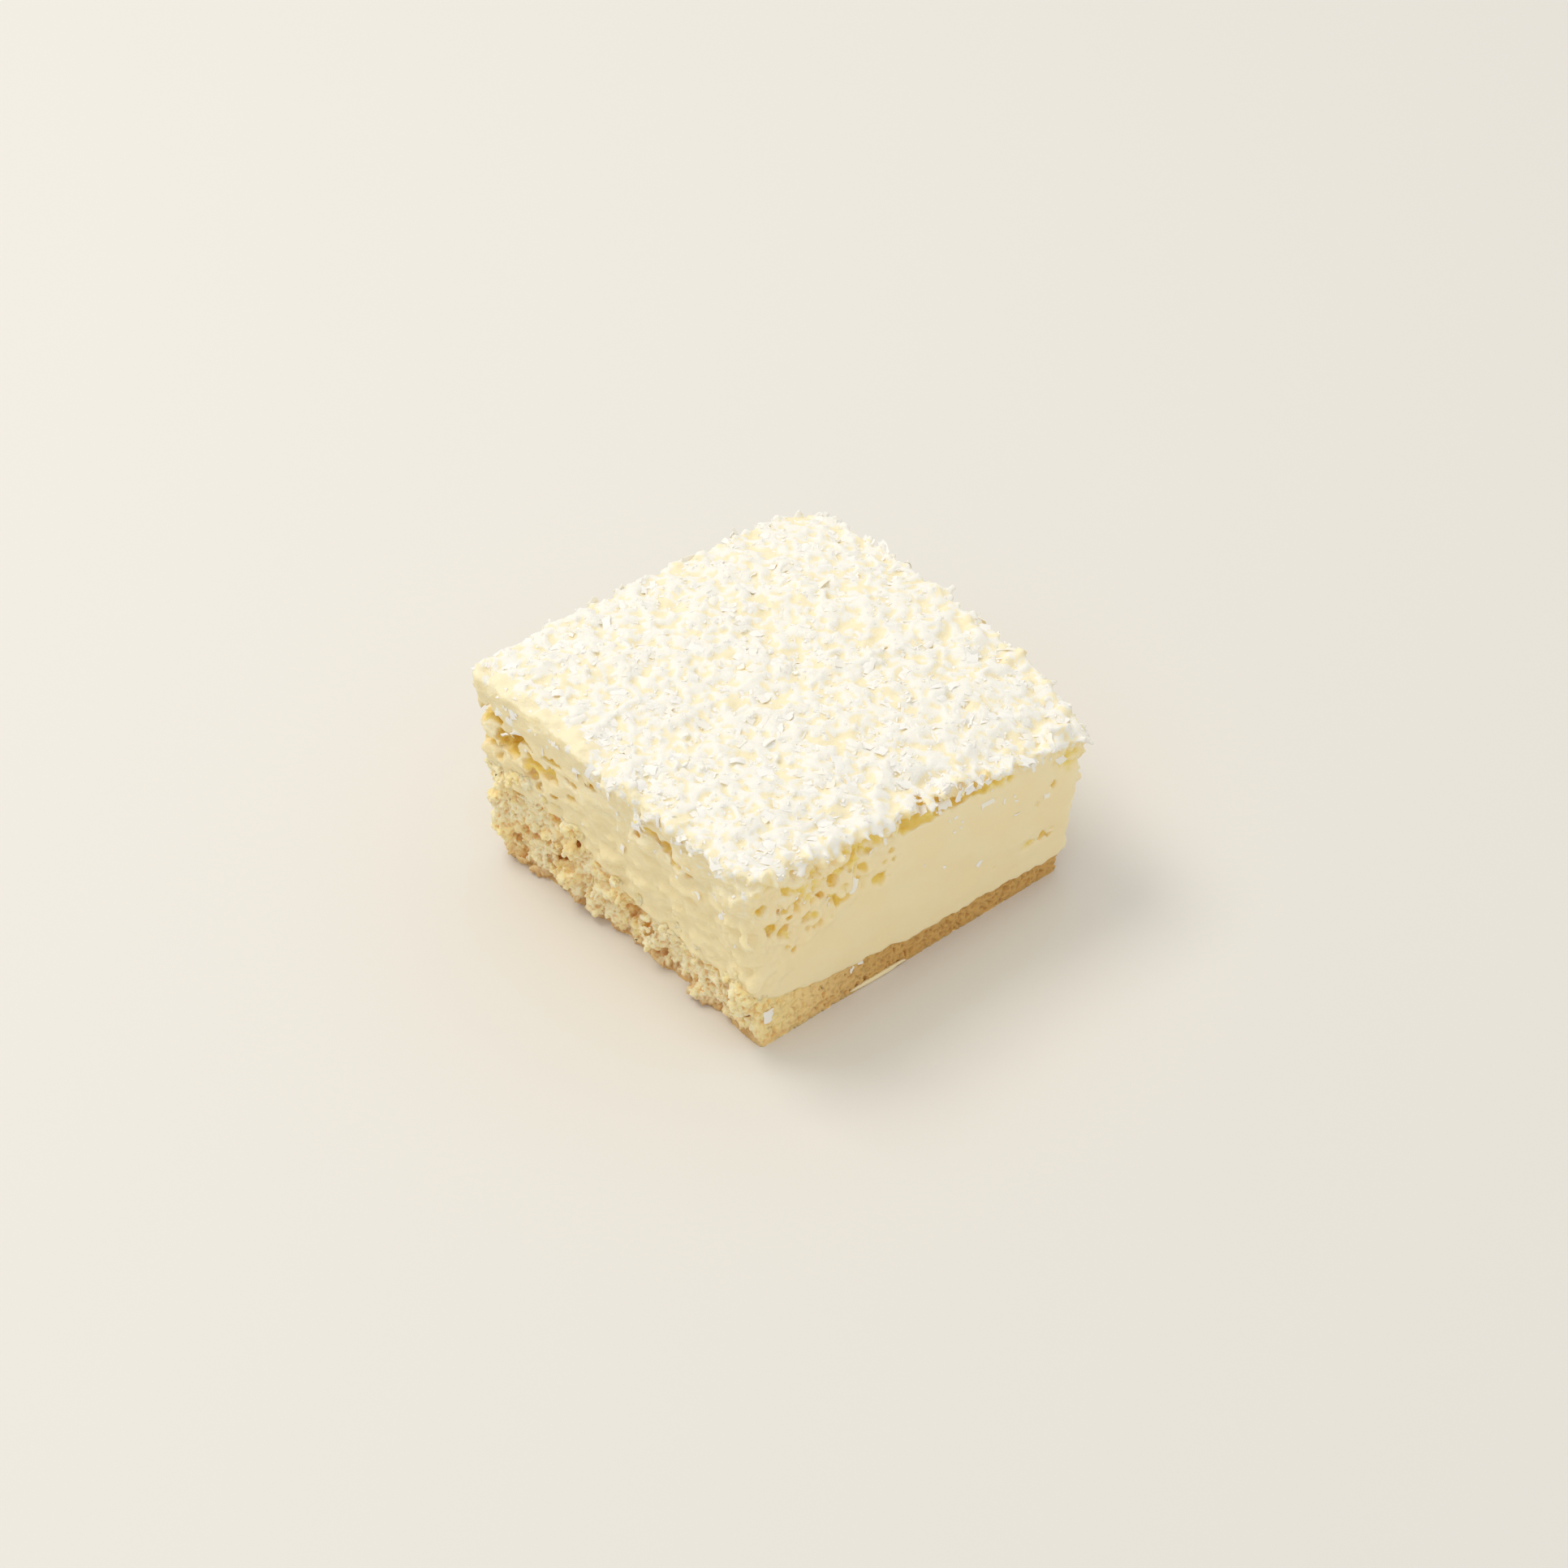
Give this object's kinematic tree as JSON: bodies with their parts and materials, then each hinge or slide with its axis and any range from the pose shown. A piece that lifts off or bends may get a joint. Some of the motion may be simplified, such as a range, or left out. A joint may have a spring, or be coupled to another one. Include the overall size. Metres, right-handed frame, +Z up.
{
  "type": "tiramisu portion",
  "caption": "Square cut portion of pale tiramisu: a soaked sponge base under a deep layer of mascarpone cream covered with grated white flakes.",
  "frame": {"origin": "under the middle of the portion, on the surface that it stands on", "axes": "+Z up, +X along the smooth cut face from its front corner, +Y along the torn face from the same corner"},
  "size_m": [0.0778, 0.0754, 0.0404],
  "materials": {
    "cream": "soft whipped mascarpone cream, pale ivory, with grated white flakes on top",
    "sponge": "moist golden sponge crumb with a browned foot"
  },
  "bodies": {
    "root": {"sponge_base": "sponge", "mascarpone_cream": "cream"}
  },
  "joints": []
}
